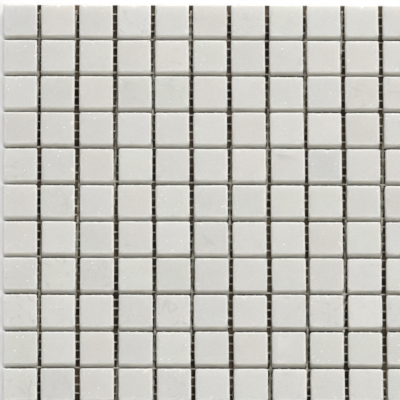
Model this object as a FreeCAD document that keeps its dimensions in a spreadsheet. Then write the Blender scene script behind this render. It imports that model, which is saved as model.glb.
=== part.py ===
import FreeCAD, Part
import os
import Sketcher
from FreeCAD import Rotation, Vector

# A flat sheet of square stone chips, held at even joints by a backing net of two layers of yarn.
# Lengths are in millimetres. The origin is the middle of the sheet's back, and Z goes up through the face.

# The driving sizes, each with its own name
SIZES = {
    "chips_per_row": "12",
    "chip_rows": "12",
    "chip_side": "22.6",
    "chip_thick": "9.5",
    "column_gap": "2.8",
    "row_gap": "3.2",
    "corner_cut": "1.0",
    "arris_cut": "0.6",
    "cross_pitch": "5.97",
    "long_pitch": "5.95",
    "cross_wide": "0.8",
    "long_wide": "1.3",
    "yarn_thick": "0.3",
    "net_inset": "1.0",
    "cross_skew": "-0.6",
    "long_skew": "-1.9",
    "cross_shift": "-0.7",
    "long_shift": "0.3",
}

# What follows from them
COLUMN_PITCH = "(Sizes.chip_side + Sizes.column_gap)"
ROW_PITCH = "(Sizes.chip_side + Sizes.row_gap)"
SHEET_X = f"(Sizes.chips_per_row * {COLUMN_PITCH} - Sizes.column_gap)"
SHEET_Y = f"(Sizes.chip_rows * {ROW_PITCH} - Sizes.row_gap)"
NET_X = f"({SHEET_X} - 2 * Sizes.net_inset)"
NET_Y = f"({SHEET_Y} - 2 * Sizes.net_inset)"
CHIP_SEAT = "(2 * Sizes.yarn_thick)"
# Before a layer of the net is trimmed, it reaches past the sheet's corners at any skew
UNTRIMMED = f"({NET_X} + {NET_Y})"

doc = FreeCAD.newDocument("MosaicSheet")


def make_sizes():
    """Writes the driving sizes into a spreadsheet, each under its own name."""
    sheet = doc.addObject("Spreadsheet::Sheet", "Sizes")
    for row, (name, number) in enumerate(SIZES.items(), start=1):
        sheet.set(f"A{row}", name)
        sheet.set(f"B{row}", number)
        sheet.setAlias(f"B{row}", name)
    doc.recompute()
    return sheet


def make_sketch(body, name):
    """Starts a sketch on the body's own ground plane."""
    sketch = body.newObject("Sketcher::SketchObject", name)
    ground = next(part for part in body.Origin.OriginFeatures if part.Role == "XY_Plane")
    sketch.AttachmentSupport = [(ground, "")]
    sketch.MapMode = "FlatFace"
    return sketch


def draw_loop(sketch, points):
    """Draws a closed loop of straight lines, joined end to end."""
    for number, point in enumerate(points):
        after = points[(number + 1) % len(points)]
        sketch.addGeometry(Part.LineSegment(Vector(*point, 0), Vector(*after, 0)))
    for number in range(len(points)):
        following = (number + 1) % len(points)
        sketch.addConstraint(Sketcher.Constraint("Coincident", number, 2, following, 1))


def measure(sketch, kind, first, second, name, value, expression):
    """Adds a named distance between two line ends and binds it to the spreadsheet."""
    index = sketch.addConstraint(Sketcher.Constraint(kind, *first, *second, value))
    sketch.renameConstraint(index, name)
    sketch.setExpression(f"Constraints.{name}", expression)


def draw_chip(sketch):
    """The chip seen from above: a square with its four corners cut, centred on the sketch's origin."""
    half = float(SIZES["chip_side"]) / 2
    inner = half - float(SIZES["corner_cut"])
    draw_loop(
        sketch,
        [
            (-inner, -half),
            (inner, -half),
            (half, -inner),
            (half, inner),
            (inner, half),
            (-inner, half),
            (-half, inner),
            (-half, -inner),
        ],
    )
    upright_axis = -2
    level_axis = -1
    # Line ends that mirror each other across the upright axis, then across the level one
    for left, right in (((0, 1), (0, 2)), ((4, 2), (4, 1)), ((6, 1), (2, 2)), ((6, 2), (2, 1))):
        sketch.addConstraint(Sketcher.Constraint("Symmetric", *left, *right, upright_axis))
    for low, high in (((0, 2), (4, 1)), ((2, 1), (2, 2))):
        sketch.addConstraint(Sketcher.Constraint("Symmetric", *low, *high, level_axis))
    cut = half - inner
    measure(sketch, "DistanceX", (6, 2), (2, 1), "side_x", 2 * half, "Sizes.chip_side")
    measure(sketch, "DistanceY", (0, 2), (4, 1), "side_y", 2 * half, "Sizes.chip_side")
    measure(sketch, "DistanceX", (0, 2), (2, 1), "cut_x", cut, "Sizes.corner_cut")
    measure(sketch, "DistanceY", (0, 2), (2, 1), "cut_y", cut, "Sizes.corner_cut")


def make_chip_row(number):
    """One row of loose chips: a sawn block with eased arrises on its face, repeated along the row."""
    body = doc.addObject("PartDesign::Body", f"tile_row_{number:02d}")
    body.Label = body.Name
    body.AllowCompound = True
    sketch = make_sketch(body, f"chip_outline_{number:02d}")
    draw_chip(sketch)

    block = body.newObject("PartDesign::Pad", f"chip_block_{number:02d}")
    block.Profile = sketch
    block.setExpression("Length", "Sizes.chip_thick")
    doc.recompute()

    top = max(range(len(block.Shape.Faces)), key=lambda k: block.Shape.Faces[k].CenterOfMass.z)
    arris = body.newObject("PartDesign::Chamfer", f"chip_arris_{number:02d}")
    arris.Base = (block, [f"Face{top + 1}"])
    arris.setExpression("Size", "Sizes.arris_cut")
    doc.recompute()

    row = body.newObject("PartDesign::LinearPattern", f"chip_run_{number:02d}")
    row.TransformMode = "Whole shape"
    row.Direction = (sketch, ["H_Axis"])
    row.Mode = "Spacing"
    row.setExpression("Offset", COLUMN_PITCH)
    row.setExpression("Occurrences", "Sizes.chips_per_row")
    body.Tip = row

    body.setExpression("Placement.Base.x", f"-({SHEET_X} - Sizes.chip_side) / 2")
    body.setExpression("Placement.Base.y", f"({SHEET_Y} - Sizes.chip_side) / 2 - {number - 1} * {ROW_PITCH}")
    body.setExpression("Placement.Base.z", CHIP_SEAT)
    return body


def draw_yarn(sketch, wide):
    """One yarn seen from above, centred on the sketch's origin and running along its level axis."""
    half_run = 300.0
    half_wide = float(SIZES[wide]) / 2
    draw_loop(
        sketch,
        [
            (-half_run, -half_wide),
            (half_run, -half_wide),
            (half_run, half_wide),
            (-half_run, half_wide),
        ],
    )
    for line in (0, 2):
        sketch.addConstraint(Sketcher.Constraint("Horizontal", line))
    for line in (1, 3):
        sketch.addConstraint(Sketcher.Constraint("Vertical", line))
    centre = (-1, 1)
    sketch.addConstraint(Sketcher.Constraint("Symmetric", 0, 1, 2, 1, *centre))
    measure(sketch, "DistanceX", (0, 1), (0, 2), "run", 2 * half_run, UNTRIMMED)
    measure(sketch, "DistanceY", (1, 1), (1, 2), "wide", 2 * half_wide, f"Sizes.{wide}")


def make_net_layer(name, layer, kind, turn):
    """One layer of parallel yarns, laid a little askew and trimmed to the net's outline."""
    level = f"{layer} * Sizes.yarn_thick"
    pitch = f"Sizes.{kind}_pitch"
    yarns = f"(2 * ceil({UNTRIMMED} / 2 / {pitch}) + 1)"
    body = doc.addObject("PartDesign::Body", f"{name}_yarns")
    body.AllowCompound = True
    sketch = make_sketch(body, f"{name}_yarn_outline")
    draw_yarn(sketch, f"{kind}_wide")

    yarn = body.newObject("PartDesign::Pad", f"{name}_yarn")
    yarn.Profile = sketch
    yarn.setExpression("Length", "Sizes.yarn_thick")
    doc.recompute()

    run = body.newObject("PartDesign::LinearPattern", f"{name}_run")
    run.TransformMode = "Whole shape"
    run.Direction = (sketch, ["V_Axis"])
    run.Mode = "Spacing"
    run.setExpression("Offset", pitch)
    run.setExpression("Occurrences", yarns)
    body.Tip = run

    # The layer's middle yarn lies beside the middle of the sheet by the layer's own shift
    back = f"(({yarns} - 1) / 2 * {pitch} - Sizes.{kind}_shift)"
    body.Placement.Rotation = Rotation(Vector(0, 0, 1), 1)
    body.setExpression("Placement.Rotation.Angle", turn)
    body.setExpression("Placement.Base.x", f"{back} * sin({turn} * 1deg)")
    body.setExpression("Placement.Base.y", f"-{back} * cos({turn} * 1deg)")
    body.setExpression("Placement.Base.z", level)

    outline = doc.addObject("Part::Box", f"{name}_outline")
    outline.setExpression("Length", NET_X)
    outline.setExpression("Width", NET_Y)
    outline.setExpression("Height", "Sizes.yarn_thick")
    outline.setExpression("Placement.Base.x", f"-{NET_X} / 2")
    outline.setExpression("Placement.Base.y", f"-{NET_Y} / 2")
    outline.setExpression("Placement.Base.z", level)

    layer = doc.addObject("Part::Common", name)
    layer.Label = name
    layer.Base = body
    layer.Tool = outline
    return layer


def check(parts):
    """Stops the build where an object failed or a shape is empty or broken."""
    for item in doc.Objects:
        if "Invalid" in item.State or "Error" in item.State:
            raise RuntimeError(f"{item.Name} is {item.State}")
    for item in parts:
        if item.Shape.isNull() or not item.Shape.isValid():
            raise RuntimeError(f"{item.Label} has no valid shape")


sizes = make_sizes()
parts = [make_chip_row(number) for number in range(1, int(sizes.chip_rows) + 1)]
parts.append(make_net_layer("net_long", 0, "long", "(90 + Sizes.long_skew)"))
parts.append(make_net_layer("net_cross", 1, "cross", "Sizes.cross_skew"))
doc.recompute()
check(parts)

os.makedirs("parts", exist_ok=True)
for item in parts:
    item.Shape.exportStep(f"parts/{item.Label}.step")
    print(item.Label, len(item.Shape.Solids), item.Shape.BoundBox)
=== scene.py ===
import math

import bpy
import numpy as np
from mathutils import Matrix, Vector, noise


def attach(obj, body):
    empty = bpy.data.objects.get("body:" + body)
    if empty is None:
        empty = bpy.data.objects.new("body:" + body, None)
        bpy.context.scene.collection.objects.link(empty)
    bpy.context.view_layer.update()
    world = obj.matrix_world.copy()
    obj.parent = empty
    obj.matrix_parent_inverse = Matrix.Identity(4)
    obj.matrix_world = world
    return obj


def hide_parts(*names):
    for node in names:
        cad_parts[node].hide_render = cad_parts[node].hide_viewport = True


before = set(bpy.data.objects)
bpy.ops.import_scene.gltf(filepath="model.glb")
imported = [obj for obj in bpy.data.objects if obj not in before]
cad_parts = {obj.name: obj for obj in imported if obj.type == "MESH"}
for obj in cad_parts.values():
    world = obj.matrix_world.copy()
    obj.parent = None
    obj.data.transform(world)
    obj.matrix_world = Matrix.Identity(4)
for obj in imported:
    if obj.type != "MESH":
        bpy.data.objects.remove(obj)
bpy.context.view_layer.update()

# A sheet of honed marble chips on a backing net, laid on a pale floor. Lengths are in metres.
MM = 0.001

# The sheet, with the sizes of its solids
CHIPS = 12
CHIP_SIDE = 22.6 * MM
COLUMN_GAP = 2.8 * MM
ROW_GAP = 3.2 * MM
COLUMN_PITCH = CHIP_SIDE + COLUMN_GAP
ROW_PITCH = CHIP_SIDE + ROW_GAP
CHIP_THICK = 9.5 * MM
SEAT = 0.6 * MM
HALF_X = (CHIPS * COLUMN_PITCH - COLUMN_GAP) / 2
HALF_Y = (CHIPS * ROW_PITCH - ROW_GAP) / 2
TOP = SEAT + CHIP_THICK

# The net, with the sizes and places of its solids
NET_INSET = 1.0 * MM
NET_HALF = (HALF_X - NET_INSET, HALF_Y - NET_INSET)
CROSS_PITCH = 5.97 * MM
LONG_PITCH = 5.95 * MM
CROSS_SHIFT = -0.7 * MM
LONG_SHIFT = 0.3 * MM
CROSS_ANGLE = math.radians(-0.6)
LONG_ANGLE = math.radians(88.1)


def srgb(red, green, blue):
    """A screen colour of 0 to 255 as the linear colour that a shader takes."""
    return tuple(((v / 255 + 0.055) / 1.055) ** 2.4 for v in (red, green, blue)) + (1.0,)


# Colours of the stone
MARBLE = srgb(217, 216, 211)
PATCH = srgb(196, 197, 193)
VEIN = srgb(192, 189, 180)
GLINT = srgb(255, 255, 252)
WORN_AND_RIM_HIGHLIGHT = srgb(245, 242, 235)
SAWN_LIT_DARK = srgb(236, 233, 224)
SAWN_LIT_LIGHT = srgb(246, 245, 239)
DUST_AND_SHADE = srgb(166, 156, 136)

# Colours of the yarns: light and dark filaments, and the stain of glue and dust
CROSS_COLOURS = (srgb(240, 236, 227), srgb(204, 197, 185), srgb(142, 132, 114))
LONG_COLOURS = (srgb(230, 229, 214), srgb(196, 194, 178), srgb(166, 161, 142))

# Colours of the floor, and of the painted shade under the sheet, seen through the open joints
FLOOR = srgb(244, 244, 243)
SHADE_BOARD_DARK = srgb(55, 48, 39)
SHADE_BOARD_LIGHT = srgb(106, 94, 78)
RUST = srgb(126, 66, 34)
WHITE = (1.0, 1.0, 1.0, 1.0)


# Node helpers
def add(tree, kind, inputs=None, **settings):
    """Adds a node, sets its properties, and sets or links its inputs."""
    made = tree.nodes.new(kind)
    for name, value in settings.items():
        setattr(made, name, value)
    for name, value in (inputs or {}).items():
        connect(tree, value, made.inputs[name])
    return made


def connect(tree, value, socket):
    """Links a socket to an output, or sets it to a fixed value."""
    if isinstance(value, bpy.types.NodeSocket):
        tree.links.new(value, socket)
    else:
        socket.default_value = value


def maths(tree, operation, first, second=0.0):
    """One sum of two values."""
    return add(tree, "ShaderNodeMath", {0: first, 1: second}, operation=operation).outputs[0]


def product(tree, *values):
    """Several values multiplied together."""
    result = values[0]
    for value in values[1:]:
        result = maths(tree, "MULTIPLY", result, value)
    return result


def ramp(tree, value, low, high, to_low=0.0, to_high=1.0):
    """Maps a value smoothly from one range to another, and holds it inside that range."""
    sockets = {"Value": value, "From Min": low, "From Max": high, "To Min": to_low, "To Max": to_high}
    return add(tree, "ShaderNodeMapRange", sockets, interpolation_type="SMOOTHSTEP").outputs["Result"]


def mix(tree, factor, first, second):
    """Mixes two colours."""
    made = add(tree, "ShaderNodeMix", data_type="RGBA")
    for number, value in ((0, factor), (6, first), (7, second)):
        connect(tree, value, made.inputs[number])
    return made.outputs[2]


def times(tree, colour, value):
    """A colour made lighter or darker by a value."""
    made = add(tree, "ShaderNodeVectorMath", {0: colour}, operation="SCALE")
    tree.links.new(value, made.inputs["Scale"])
    return made.outputs[0]


def clouds(tree, spot, scale, detail=3.0, distortion=0.0):
    """Soft noise of so many features to the metre."""
    sockets = {"Vector": spot, "Scale": scale, "Detail": detail, "Distortion": distortion}
    return add(tree, "ShaderNodeTexNoise", sockets).outputs["Fac"]


def cells(tree, spot, scale):
    """Small cells, so many to the metre, and the random colour of each."""
    made = add(tree, "ShaderNodeTexVoronoi", {"Vector": spot, "Scale": scale})
    chosen = add(tree, "ShaderNodeSeparateColor", {0: made.outputs["Color"]})
    return made, chosen


def stretched(tree, vector, scale):
    """A vector scaled along each axis."""
    return add(tree, "ShaderNodeMapping", {"Vector": vector, "Scale": scale}).outputs[0]


def attribute(tree, name):
    """A mark that the mesh carries at each point."""
    return add(tree, "ShaderNodeAttribute", attribute_name=name)


def parts_of(tree, vector):
    """The three parts of a vector."""
    return add(tree, "ShaderNodeSeparateXYZ", {0: vector}).outputs


def object_place(tree):
    """The place on the piece itself."""
    return add(tree, "ShaderNodeTexCoord").outputs["Object"]


def set_relief(tree, shader, height, strength, distance):
    """Fine relief as bump."""
    bump = add(tree, "ShaderNodeBump", {"Height": height, "Strength": strength, "Distance": distance})
    tree.links.new(bump.outputs[0], shader.inputs["Normal"])


def new_material(name):
    """An empty node material with its output and its main shader."""
    material = bpy.data.materials.new(name)
    material.use_nodes = True
    tree = material.node_tree
    tree.nodes.clear()
    shader = add(tree, "ShaderNodeBsdfPrincipled")
    output = add(tree, "ShaderNodeOutputMaterial", {"Surface": shader.outputs[0]})
    return material, tree, shader, output


# Marble
def face_colour(tree, spot, veined, patchy):
    """Honed face: clouded and grained white stone, with faint veins and grey patches in some chips."""
    _, grain = cells(tree, spot, 1500.0)
    shade = product(
        tree,
        ramp(tree, clouds(tree, spot, 95.0, 4.0), 0.3, 0.7, 0.988, 1.010),
        ramp(tree, grain.outputs[0], 0.0, 1.0, 0.976, 1.022),
    )
    colour = times(tree, attribute(tree, "chip_tint").outputs["Color"], shade)

    patch = ramp(tree, clouds(tree, spot, 150.0, 3.0, 1.2), 0.54, 0.70)
    colour = mix(tree, product(tree, patch, patchy), colour, PATCH)

    vein = clouds(tree, spot, 48.0, 5.0, 0.8)
    ridge = maths(tree, "ABSOLUTE", maths(tree, "SUBTRACT", vein, 0.5))
    thread = product(tree, ramp(tree, ridge, 0.0, 0.010, 1.0, 0.0), veined)
    return mix(tree, thread, colour, VEIN)


def crystals(tree, spot, groups, scale, rare, reach):
    """Crystals in some cells, more of them inside the groups, and each fading out at its reach."""
    cell, chosen = cells(tree, spot, scale)
    shown = ramp(tree, maths(tree, "ADD", chosen.outputs[1], groups), rare - 0.04, rare)
    core = ramp(tree, cell.outputs["Distance"], 0.4 * reach, reach, 1.0, 0.0)
    return product(tree, shown, core)


def glints(tree, spot, glinting):
    """Where crystal glints are painted as near-white specks: fine ones in every chip, and in some larger
    ones in loose groups.
    """
    groups = product(tree, clouds(tree, spot, 110.0, 1.0), 0.5)
    large = crystals(tree, spot, groups, scale=300.0, rare=1.05, reach=0.23)
    fine = crystals(tree, spot, groups, scale=640.0, rare=1.13, reach=0.28)
    return maths(tree, "MAXIMUM", product(tree, large, glinting), product(tree, fine, 0.55))


def marble_material():
    """Honed white marble, pale along its arrises from wear and a painted rim highlight, with sawn walls
    made paler by painted light and darker low down by painted shade and dust.
    """
    material, tree, shader, _ = new_material("honed_marble")
    # Each chip has its own stretch of stone
    sockets = {0: object_place(tree), 1: attribute(tree, "chip_shift").outputs["Vector"]}
    spot = add(tree, "ShaderNodeVectorMath", sockets, operation="ADD").outputs[0]
    veined, patchy, glinting = parts_of(tree, attribute(tree, "chip_traits").outputs["Vector"])
    wear_and_rim_light, wall, low_dust_and_shade = parts_of(tree, attribute(tree, "surface").outputs["Vector"])

    glint = glints(tree, spot, glinting)
    # Painted highlight: crystal glints are painted into the colour as near-white specks
    colour = mix(tree, glint, face_colour(tree, spot, veined, patchy), GLINT)
    rub = clouds(tree, spot, 420.0)
    # Pale arrises: real wear, and a painted rim highlight all round the chip
    worn = product(tree, wear_and_rim_light, ramp(tree, rub, 0.3, 0.7, 0.5, 1.0))
    colour = mix(tree, worn, colour, WORN_AND_RIM_HIGHLIGHT)

    # Saw marks run level round the walls, and near the back the walls darken in clouds: painted shade
    # deep in the joints, with dust
    saw = clouds(tree, stretched(tree, spot, (0.08, 0.08, 1.0)), 1500.0)
    # The walls are paler than the face: sawn stone, and painted light that brightens them in the joints
    sawn_and_lit = mix(tree, ramp(tree, saw, 0.3, 0.7), SAWN_LIT_DARK, SAWN_LIT_LIGHT)
    colour = mix(tree, product(tree, wall, 0.85), colour, sawn_and_lit)
    dust = product(tree, low_dust_and_shade, ramp(tree, clouds(tree, spot, 90.0, 4.0), 0.35, 0.65, 0.3, 0.8))
    tree.links.new(mix(tree, dust, colour, DUST_AND_SHADE), shader.inputs["Base Color"])

    # Light goes some way into the stone and comes out of its walls
    shader.inputs["Subsurface Weight"].default_value = 1.0
    shader.inputs["Subsurface Radius"].default_value = (1.0, 0.93, 0.87)
    shader.inputs["Subsurface Scale"].default_value = 0.010

    # Honed on the face, rougher on worn and sawn stone
    honed = ramp(tree, clouds(tree, spot, 700.0), 0.3, 0.7, 0.42, 0.56)
    face_rough = maths(tree, "SUBTRACT", honed, product(tree, glint, 0.2))
    coarse = maths(tree, "MAXIMUM", wall, product(tree, wear_and_rim_light, 0.1))
    rough = add(tree, "ShaderNodeMix", {0: coarse, 2: face_rough, 3: 0.82}, data_type="FLOAT").outputs[0]
    tree.links.new(rough, shader.inputs["Roughness"])

    # Fine pitting all over, and saw marks on the walls
    pits = product(tree, clouds(tree, spot, 1900.0, 2.0), 0.35)
    pitting = maths(tree, "ADD", pits, product(tree, rub, 0.5))
    relief = maths(tree, "ADD", pitting, product(tree, saw, wall, 1.6))
    set_relief(tree, shader, relief, 0.35, 0.10 * MM)
    return material


def yarn_material(name, light, dark, stain):
    """Coated glass-fibre yarn: fine filaments along it, dulled in places by glue and dust."""
    material, tree, shader, _ = new_material(name)
    along = attribute(tree, "along").outputs["Vector"]
    filament = clouds(tree, stretched(tree, along, (250.0, 6.0, 6.0)), 1.0)
    dust = clouds(tree, object_place(tree), 190.0, 4.0)
    colour = mix(tree, ramp(tree, filament, 0.3, 0.7), dark, light)
    colour = mix(tree, ramp(tree, dust, 0.42, 0.58, 0.0, 0.85), colour, stain)
    tree.links.new(colour, shader.inputs["Base Color"])
    tree.links.new(ramp(tree, dust, 0.3, 0.7, 0.45, 0.75), shader.inputs["Roughness"])
    set_relief(tree, shader, filament, 0.5, 0.08 * MM)
    return material


# Chips: points in each corner and on each side of an outline, and the most it wobbles
CORNER_STEPS = 6
SIDE_STEPS = 22
AROUND = 4 * (CORNER_STEPS + 1 + SIDE_STEPS)
CORNERS = ((-1, -1), (1, -1), (1, 1), (-1, 1))
WOBBLE = 0.10 * MM
FULLY_WORN = 0.3 * MM

# Where some rings come in the list that chip_rings makes
BACK_EDGE = 1
BELOW_ARRIS = 6
ARRIS_FOOT = 7
ARRIS_UPPER = 9
ARRIS_END = 11
FACE_EDGE = 12

# How far rows, columns and chips slide from their even places
ROW_SLIDE = 0.16
COLUMN_SLIDE = 0.16
CHIP_SLIDE_X = 0.15
CHIP_SLIDE_Y = 0.11


def rounded_square(half_x, half_y, radii, inset):
    """Points round a square with rounded corners, drawn in by the inset, and which way is outward."""
    radii = [max(radius - inset, 0.12 * radius) for radius in radii]
    centres = [
        np.array([x * (half_x - inset - radius), y * (half_y - inset - radius)])
        for (x, y), radius in zip(CORNERS, radii)
    ]
    points = []
    outward = []
    for corner in range(4):
        for step in range(CORNER_STEPS + 1):
            angle = math.pi + (corner + step / CORNER_STEPS) * math.pi / 2
            direction = np.array([math.cos(angle), math.sin(angle)])
            points.append(centres[corner] + radii[corner] * direction)
            outward.append(direction)
        following = (corner + 1) % 4
        first = points[-1]
        last = centres[following] + radii[following] * direction
        for step in range(1, SIDE_STEPS + 1):
            points.append(first + (last - first) * step / (SIDE_STEPS + 1))
            outward.append(direction)
    return np.array(points), np.array(outward)


def chip_nicks(rng, half):
    """How deep the arris is nicked at each place round a chip."""
    around = np.arange(AROUND) / AROUND
    nick = np.zeros(AROUND)
    for _ in range(rng.integers(0, 3)):
        place = rng.uniform(0, 1)
        wide = rng.uniform(0.4, 1.1) * MM / (8 * half)
        deep = rng.uniform(0.08, 0.32) * MM
        away = np.abs((around - place + 0.5) % 1 - 0.5)
        nick = np.maximum(nick, deep * np.exp(-((away / wide) ** 2)))
    return nick


def chip_bow(rng):
    """How far a chip's outline wanders at each place round it, as a share of the most it may."""
    seed = Vector(rng.uniform(-50, 50, 3))
    turns = np.arange(AROUND) / AROUND * 2 * math.pi
    return np.array([noise.noise(seed + Vector((math.cos(t), math.sin(t), 0.0)) * 2.2) for t in turns])


def chip_rings(height, arris):
    """Rings from the back up to the face: height, inset, and how far the pale arris (wear and painted
    rim highlight), the wall, and the dust and painted shade show there.
    """
    # The last column paints the walls darker towards the back: painted shade deep in the joints
    rings = [
        (0.0, 1.2 * MM, 0.0, 1.0, 0.6),
        (0.0, 0.22 * MM, 0.3, 1.0, 0.6),
        (0.22 * MM, 0.0, 0.3, 1.0, 0.5),
        (1.2 * MM, 0.0, 0.0, 1.0, 0.2),
        (0.35 * height, 0.0, 0.0, 1.0, 0.06),
        (0.65 * height, 0.0, 0.0, 1.0, 0.0),
        (height - arris - 0.8 * MM, 0.0, 0.0, 1.0, 0.0),
        (height - arris, 0.0, 0.25, 0.9, 0.0),
    ]
    for turn in (0.25, 0.5, 0.75, 1.0):
        angle = turn * math.pi / 2
        up = height - arris * (1 - math.sin(angle))
        # The arris is palest at its middle: wear, and a painted rim highlight
        wear_and_rim_light = 0.75 * math.sin(2 * angle) + 0.25 if turn < 1 else 0.35
        rings.append((up, arris * (1 - math.cos(angle)), wear_and_rim_light, 0.6 * (1 - turn) ** 1.5, 0.0))
    rings.append((height, arris + 0.7 * MM, 0.0, 0.0, 0.0))
    rings.append((height, arris + 3.0 * MM, 0.0, 0.0, 0.0))
    return rings


def ring_damage(level, nick, bow):
    """How far a ring moves outward and down where it wanders and is nicked, and how worn it is there."""
    on_arris = ARRIS_FOOT <= level <= ARRIS_END
    near_arris = BELOW_ARRIS <= level <= FACE_EDGE
    wander = WOBBLE * bow if BACK_EDGE <= level <= ARRIS_END else np.zeros(AROUND)
    cut = nick * (1.0 if on_arris else 0.35 if near_arris else 0.0)
    sunk = nick * (0.6 if ARRIS_UPPER <= level <= ARRIS_END else 0.18 if level > ARRIS_END else 0.0)
    worn = (nick / FULLY_WORN) * (0.8 if near_arris else 0.0)
    return wander - cut, sunk, worn


def chip_faces(levels):
    """The faces that join the rings of a chip and close it at its back and face."""
    faces = [tuple(reversed(range(AROUND)))]
    for low in range(0, (levels - 1) * AROUND, AROUND):
        for step in range(AROUND):
            after = (step + 1) % AROUND
            faces.append((low + step, low + after, low + AROUND + after, low + AROUND + step))
    faces.append(tuple(range((levels - 1) * AROUND, levels * AROUND)))
    return faces


def chip(rng, rounder):
    """One chip round its own middle: its points, faces and surface marks."""
    half_x = CHIP_SIDE / 2 - rng.uniform(0.0, 0.1) * MM
    half_y = CHIP_SIDE / 2 - rng.uniform(0.0, 0.1) * MM
    radii = (rng.uniform(0.7, 1.5, 4) + 0.5 * rounder) * MM
    height = CHIP_THICK - rng.uniform(0.03, 0.22) * MM
    slope = rng.uniform(-0.0035, 0.0035, 2)
    nick = chip_nicks(rng, half_x)
    bow = chip_bow(rng)
    dusty = 0.4 * rng.random() ** 2
    rings = chip_rings(height, rng.uniform(0.8, 1.3) * MM)

    points = []
    marks = []
    for level, (up, inset, wear_and_rim_light, wall, dust) in enumerate(rings):
        flat, outward = rounded_square(half_x, half_y, radii, inset)
        out, sunk, worn = ring_damage(level, nick, bow)
        flat = flat + outward * out[:, None]
        # Only the upper half of a chip slopes, so that its back stays flat on the net
        high = up - sunk + max(0.0, up / height * 2 - 1) * (flat @ slope)
        points.append(np.column_stack([flat, high]))
        worn = np.clip(wear_and_rim_light + worn, 0, 1)
        # The larger of the ring's painted shade towards the back and the chip's own dust on its walls
        dusted_and_shaded = max(dust, dusty * wall)
        marks.append(np.column_stack([worn, np.full(AROUND, wall), np.full(AROUND, dusted_and_shaded)]))
    points = np.concatenate(points)
    upper = points[:, 2] > 0.5 * height
    points[upper, 2] *= min(1.0, CHIP_THICK / points[:, 2].max())

    turn = math.radians(rng.uniform(-0.35, 0.35))
    rotation = np.array([[math.cos(turn), -math.sin(turn)], [math.sin(turn), math.cos(turn)]])
    points[:, :2] = points[:, :2] @ rotation.T
    return points, chip_faces(len(rings)), np.concatenate(marks)


def chip_tint(rng):
    """The stone colour of one chip: white, leaning a little warm, green or blue."""
    leans = ((0, 0, 0), (0.009, -0.004, -0.009), (-0.007, 0.003, -0.009), (-0.005, 0.0, 0.011))
    lean = np.array(leans[rng.choice(4, p=(0.4, 0.25, 0.2, 0.15))])
    return np.array(MARBLE[:3]) + lean * rng.uniform(0.3, 1.0) + rng.normal(0, 0.013)


def chip_traits(rng):
    """How far one chip is veined, patchy and glinting."""
    veined = rng.uniform(0.15, 0.4) if rng.random() < 0.2 else 0.0
    patchy = rng.uniform(0.2, 0.6) if rng.random() < 0.16 else 0.06
    glinting = rng.uniform(0.5, 1.0) if rng.random() < 0.45 else 0.12
    return [veined, patchy, glinting]


def keep_inside(points):
    """Moves a chip back, where it was laid past the edge of the sheet."""
    for axis, half in ((0, HALF_X), (1, HALF_Y)):
        over = max(0.0, points[:, axis].max() - half) + min(0.0, points[:, axis].min() + half)
        points[:, axis] -= over


def make_piece(name, points, faces, attributes, material, node):
    """Makes one mesh with its attributes, standing for one node of the solids."""
    mesh = bpy.data.meshes.new(name)
    mesh.from_pydata(points.tolist(), [], faces)
    mesh.shade_smooth()
    for title, kind, values in attributes:
        layer = mesh.attributes.new(title, kind, "POINT")
        field = "color" if kind == "FLOAT_COLOR" else "vector"
        layer.data.foreach_set(field, np.concatenate(values).ravel())
    mesh.materials.append(material)
    piece = bpy.data.objects.new(name, mesh)
    bpy.context.scene.collection.objects.link(piece)
    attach(piece, "root")
    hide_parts(node)


def make_row(row, column_slides, material):
    """One row of chips as one mesh."""
    rng = np.random.default_rng(7100 + row)
    row_slide = rng.normal(0, ROW_SLIDE) * MM
    points, faces, marks, shifts, tints, traits = [], [], [], [], [], []
    for column in range(CHIPS):
        # Corners are a little rounder toward the sheet's last row and column
        chip_points, own_faces, chip_marks = chip(rng, row * column / (CHIPS - 1) ** 2)
        slide_x = rng.normal(0, CHIP_SLIDE_X) * MM
        slide_y = rng.normal(0, CHIP_SLIDE_Y) * MM
        even_x = -HALF_X + CHIP_SIDE / 2 + column * COLUMN_PITCH
        even_y = HALF_Y - CHIP_SIDE / 2 - row * ROW_PITCH
        chip_points += (even_x + slide_x + column_slides[column] + row_slide, even_y + slide_y, SEAT)
        keep_inside(chip_points)
        size = len(chip_points)
        faces.extend(tuple(index + column * size for index in face) for face in own_faces)
        points.append(chip_points)
        marks.append(chip_marks)
        shifts.append(np.tile(rng.uniform(-2, 2, 3), (size, 1)))
        tints.append(np.tile(np.append(chip_tint(rng), 1.0), (size, 1)))
        traits.append(np.tile(chip_traits(rng), (size, 1)))
    attributes = (
        ("surface", "FLOAT_VECTOR", marks),
        ("chip_shift", "FLOAT_VECTOR", shifts),
        ("chip_traits", "FLOAT_VECTOR", traits),
        ("chip_tint", "FLOAT_COLOR", tints),
    )
    name = f"marble_row_{row + 1:02d}"
    node = f"tile_row_{row + 1:02d}"
    make_piece(name, np.concatenate(points), faces, attributes, material, node)


def make_chips():
    """All the rows of chips."""
    material = marble_material()
    column_slides = np.random.default_rng(40).normal(0, COLUMN_SLIDE, CHIPS) * MM
    for row in range(CHIPS):
        make_row(row, column_slides, material)


# Backing net: cross yarns are single and flat, long ones are pairs that cross in each mesh
YARN_SIDES = 6
YARN_STEP = 2.2 * MM
FLAT_YARN = {
    "count": 1,
    "apart": 0.0,
    "half_wide": 0.57 * MM,
    "half_thick": 0.14 * MM,
    "level": 0.44 * MM,
    "mesh": LONG_PITCH,
}
YARN_PAIR = {
    "count": 2,
    "apart": 0.44 * MM,
    "half_wide": 0.47 * MM,
    "half_thick": 0.13 * MM,
    "level": 0.16 * MM,
    "mesh": CROSS_PITCH,
}


def clip_line(middle, direction):
    """The stretch of a line through middle that lies inside the net's outline, or None."""
    low, high = -1e9, 1e9
    for axis in (0, 1):
        first = (-NET_HALF[axis] - middle[axis]) / direction[axis]
        second = (NET_HALF[axis] - middle[axis]) / direction[axis]
        low = max(low, min(first, second))
        high = min(high, max(first, second))
    return (low, high) if high - low > 4 * MM else None


def wander_along(travelled, waves, place, layer):
    """Smooth noise along a yarn, with so many waves to the metre."""
    return np.array([noise.noise(Vector((t * waves, place, layer))) for t in travelled])


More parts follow.
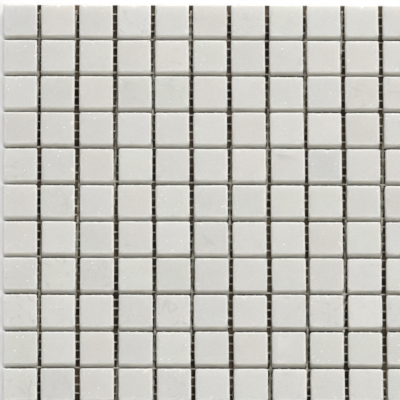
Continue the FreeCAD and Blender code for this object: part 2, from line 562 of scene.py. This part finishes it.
def sweep(path, across, travelled, swell, strands, start):
    """A flat oval swept along a path and closed at both ends: its points, faces and marks."""
    angles = np.arange(YARN_SIDES) / YARN_SIDES * 2 * math.pi
    wide = np.cos(angles)[None, :, None] * strands["half_wide"] * swell[:, None, None] * across
    thick = np.sin(angles)[None, :, None] * strands["half_thick"] * np.array([0.0, 0.0, 1.0])
    points = (path[:, None, :] + wide + thick).reshape(-1, 3)

    # The filaments follow the yarn, and each yarn has its own
    marks = np.zeros((len(path), YARN_SIDES, 3))
    marks[:, :, 0] = np.cos(angles) * 0.02
    marks[:, :, 1] = travelled[:, None]
    marks[:, :, 2] = start * 0.001

    end = start + (len(path) - 1) * YARN_SIDES
    faces = []
    for low in range(start, end, YARN_SIDES):
        for side in range(YARN_SIDES):
            after = (side + 1) % YARN_SIDES
            faces.append((low + side, low + after, low + YARN_SIDES + after, low + YARN_SIDES + side))
    faces.append(tuple(reversed(range(start, start + YARN_SIDES))))
    faces.append(tuple(range(end, end + YARN_SIDES)))
    return points, faces, marks.reshape(-1, 3)


def make_net_layer(name, node, angle, pitch, shift, strands, material, rng):
    """A layer of parallel yarns, laid askew and trimmed to the net's outline."""
    direction = np.array([math.cos(angle), math.sin(angle)])
    sideways = np.array([-math.sin(angle), math.cos(angle)])
    across = np.append(sideways, 0.0)
    points, faces, along = [], [], []
    size = 0
    reach = int(1.6 * max(NET_HALF) / pitch) + 2
    for number in range(-reach, reach + 1):
        middle = sideways * (number * pitch + shift + rng.normal(0, 0.05) * MM)
        stretch = clip_line(middle, direction)
        if stretch is None:
            continue
        steps = max(4, int((stretch[1] - stretch[0]) / YARN_STEP))
        travelled = np.linspace(stretch[0], stretch[1], steps + 1)
        drift = 0.10 * MM * wander_along(travelled, 22, number * 3.7, angle)
        drift += 0.16 * MM * wander_along(travelled, 150, number * 3.7, angle)
        for strand in range(strands["count"]):
            phase = math.pi * (travelled / strands["mesh"] + strand)
            side = strands["apart"] * np.cos(phase) + drift
            flat = middle + travelled[:, None] * direction + side[:, None] * sideways
            path = np.column_stack([flat, np.full(len(flat), strands["level"])])
            swell = 1 + 0.45 * wander_along(travelled, 170, number * 5.3, angle + strand)
            yarn_points, yarn_faces, marks = sweep(path, across, travelled, swell, strands, size)
            points.append(yarn_points)
            faces.extend(yarn_faces)
            along.append(marks)
            size += len(yarn_points)
    points = np.concatenate(points)
    for axis in (0, 1):
        points[:, axis] = np.clip(points[:, axis], -NET_HALF[axis], NET_HALF[axis])
    make_piece(name, points, faces, (("along", "FLOAT_VECTOR", along),), material, node)


def make_net():
    """Both layers of the net, the cross yarns on top."""
    rng = np.random.default_rng(12)
    pale = yarn_material("net_cross_yarn", *CROSS_COLOURS)
    dull = yarn_material("net_long_yarn", *LONG_COLOURS)
    cross = (CROSS_ANGLE, CROSS_PITCH, CROSS_SHIFT, FLAT_YARN, pale, rng)
    make_net_layer("net_cross_yarns", "net_cross", *cross)
    long = (LONG_ANGLE, LONG_PITCH, LONG_SHIFT, YARN_PAIR, dull, rng)
    make_net_layer("net_long_yarns", "net_long", *long)


# Surroundings: the painted shade under the sheet ends this far inside it, and past its far side in
# tongues
SHADE_INSET = 1.5 * MM
TONGUE_MARGIN = 0.6 * MM
TONGUE_SOLID = 2.4 * MM
TONGUE_END = 3.4 * MM
FLOOR_HALF = 12.0
FLOOR_LEVEL = -0.05 * MM


def painted_shade_mask(tree, along, across):
    """1 where painted shade darkens the floor under the sheet, seen through the open joints, and 0 on
    the pale floor.
    """
    in_x = maths(tree, "LESS_THAN", maths(tree, "ABSOLUTE", along), HALF_X - SHADE_INSET)
    near_side = maths(tree, "GREATER_THAN", across, SHADE_INSET - HALF_Y)

    # Past the sheet's far side the painted shade ends in short tongues, seen through the ends of the
    # joints
    from_edge = maths(tree, "ADD", along, HALF_X + COLUMN_GAP / 2)
    from_joint = maths(tree, "PINGPONG", from_edge, COLUMN_PITCH / 2)
    tongue = maths(tree, "LESS_THAN", from_joint, COLUMN_GAP / 2 + TONGUE_MARGIN)
    body = maths(tree, "LESS_THAN", across, HALF_Y - SHADE_INSET)
    far_side = ramp(tree, across, HALF_Y + TONGUE_SOLID, HALF_Y + TONGUE_END, 1.0, 0.0)
    return product(tree, in_x, near_side, far_side, maths(tree, "MAXIMUM", tongue, body))


def floor_material():
    """Plain pale floor. Under the sheet it is painted dark and blotched, with a little rust, as the
    shade seen through the open joints.
    """
    material, tree, shader, output = new_material("floor")
    place = object_place(tree)
    along, across, _ = parts_of(tree, place)
    shaded_under_sheet = painted_shade_mask(tree, along, across)
    blotch = ramp(tree, clouds(tree, place, 60.0, 4.0), 0.35, 0.65)
    shade_board = mix(tree, blotch, SHADE_BOARD_DARK, SHADE_BOARD_LIGHT)
    rust = ramp(tree, clouds(tree, place, 23.0), 0.67, 0.75, 0.0, 0.8)
    shade_board = mix(tree, rust, shade_board, RUST)
    tree.links.new(mix(tree, shaded_under_sheet, FLOOR, shade_board), shader.inputs["Base Color"])
    shader.inputs["Roughness"].default_value = 0.9
    shader.inputs["Specular IOR Level"].default_value = 0.1

    # The camera sees the pale floor nearly white, with the sheet's shadow kept
    seen = add(tree, "ShaderNodeLightPath").outputs["Is Camera Ray"]
    lift = product(tree, seen, maths(tree, "SUBTRACT", 1.0, shaded_under_sheet), 0.5)
    glow = add(tree, "ShaderNodeEmission", {"Color": WHITE, "Strength": 1.0})
    both = add(tree, "ShaderNodeMixShader", {0: lift, 1: shader.outputs[0], 2: glow.outputs[0]})
    tree.links.new(both.outputs[0], output.inputs["Surface"])
    return material


def make_floor():
    """A wide flat floor just under the sheet."""
    corners = [(FLOOR_HALF * x, FLOOR_HALF * y, FLOOR_LEVEL) for x, y in CORNERS]
    mesh = bpy.data.meshes.new("floor")
    mesh.from_pydata(corners, [], [(0, 1, 2, 3)])
    mesh.materials.append(floor_material())
    floor = bpy.data.objects.new("floor", mesh)
    bpy.context.scene.collection.objects.link(floor)


def make_world():
    """Dim even light from all round, which the camera sees as white."""
    world = bpy.data.worlds.new("studio")
    bpy.context.scene.world = world
    world.use_nodes = True
    tree = world.node_tree
    tree.nodes.clear()
    seen = add(tree, "ShaderNodeLightPath").outputs["Is Camera Ray"]
    light = add(tree, "ShaderNodeBackground", {"Color": (0.99, 0.995, 1.0, 1.0), "Strength": 0.20})
    white = add(tree, "ShaderNodeBackground", {"Color": WHITE, "Strength": 1.0})
    both = add(tree, "ShaderNodeMixShader", {0: seen, 1: light.outputs[0], 2: white.outputs[0]})
    add(tree, "ShaderNodeOutputWorld", {"Surface": both.outputs[0]})


def make_lamp(name, place, size, power):
    """A softbox that looks at the sheet."""
    data = bpy.data.lights.new(name, "AREA")
    data.shape = "SQUARE"
    data.size = size
    data.energy = power
    data.color = (0.995, 0.992, 0.995)
    lamp = bpy.data.objects.new(name, data)
    lamp.location = place
    lamp.rotation_mode = "QUATERNION"
    lamp.rotation_quaternion = (-Vector(place)).to_track_quat("-Z", "Y")
    lamp.visible_camera = False
    bpy.context.scene.collection.objects.link(lamp)


def make_lamps():
    """A strong lamp beyond the sheet and a weak one on the near side, both a little to the right."""
    make_lamp("far_softbox", place=(1.7, 4.2, 4.0), size=2.6, power=265.0)
    make_lamp("near_softbox", place=(0.8, -1.1, 3.5), size=1.3, power=54.5)


def make_camera():
    """Looks down on the sheet from its near side, a little from the left, with the grid upright."""
    tilt = math.radians(20.0)
    sideways = math.radians(1.5)
    azimuth = -math.asin(math.tan(sideways) / math.tan(tilt))
    roll = math.radians(4.03)
    distance = 5.911
    target = Vector((-0.0202, 0.0134, TOP))
    level = math.sin(tilt)
    back = Vector((math.sin(azimuth) * level, -math.cos(azimuth) * level, math.cos(tilt)))
    data = bpy.data.cameras.new("camera")
    data.sensor_width = 36.0
    data.lens = 800.0
    data.clip_start = 0.05
    data.clip_end = 60.0
    camera = bpy.data.objects.new("camera", data)
    turn = (-back).to_track_quat("-Z", "Y").to_matrix().to_4x4() @ Matrix.Rotation(roll, 4, "Z")
    camera.matrix_world = Matrix.Translation(target + back * distance) @ turn
    bpy.context.scene.collection.objects.link(camera)
    bpy.context.scene.camera = camera


make_chips()
make_net()
make_floor()
make_world()
make_lamps()
make_camera()
bpy.context.scene.view_settings.view_transform = "Standard"

bpy.context.view_layer.update()
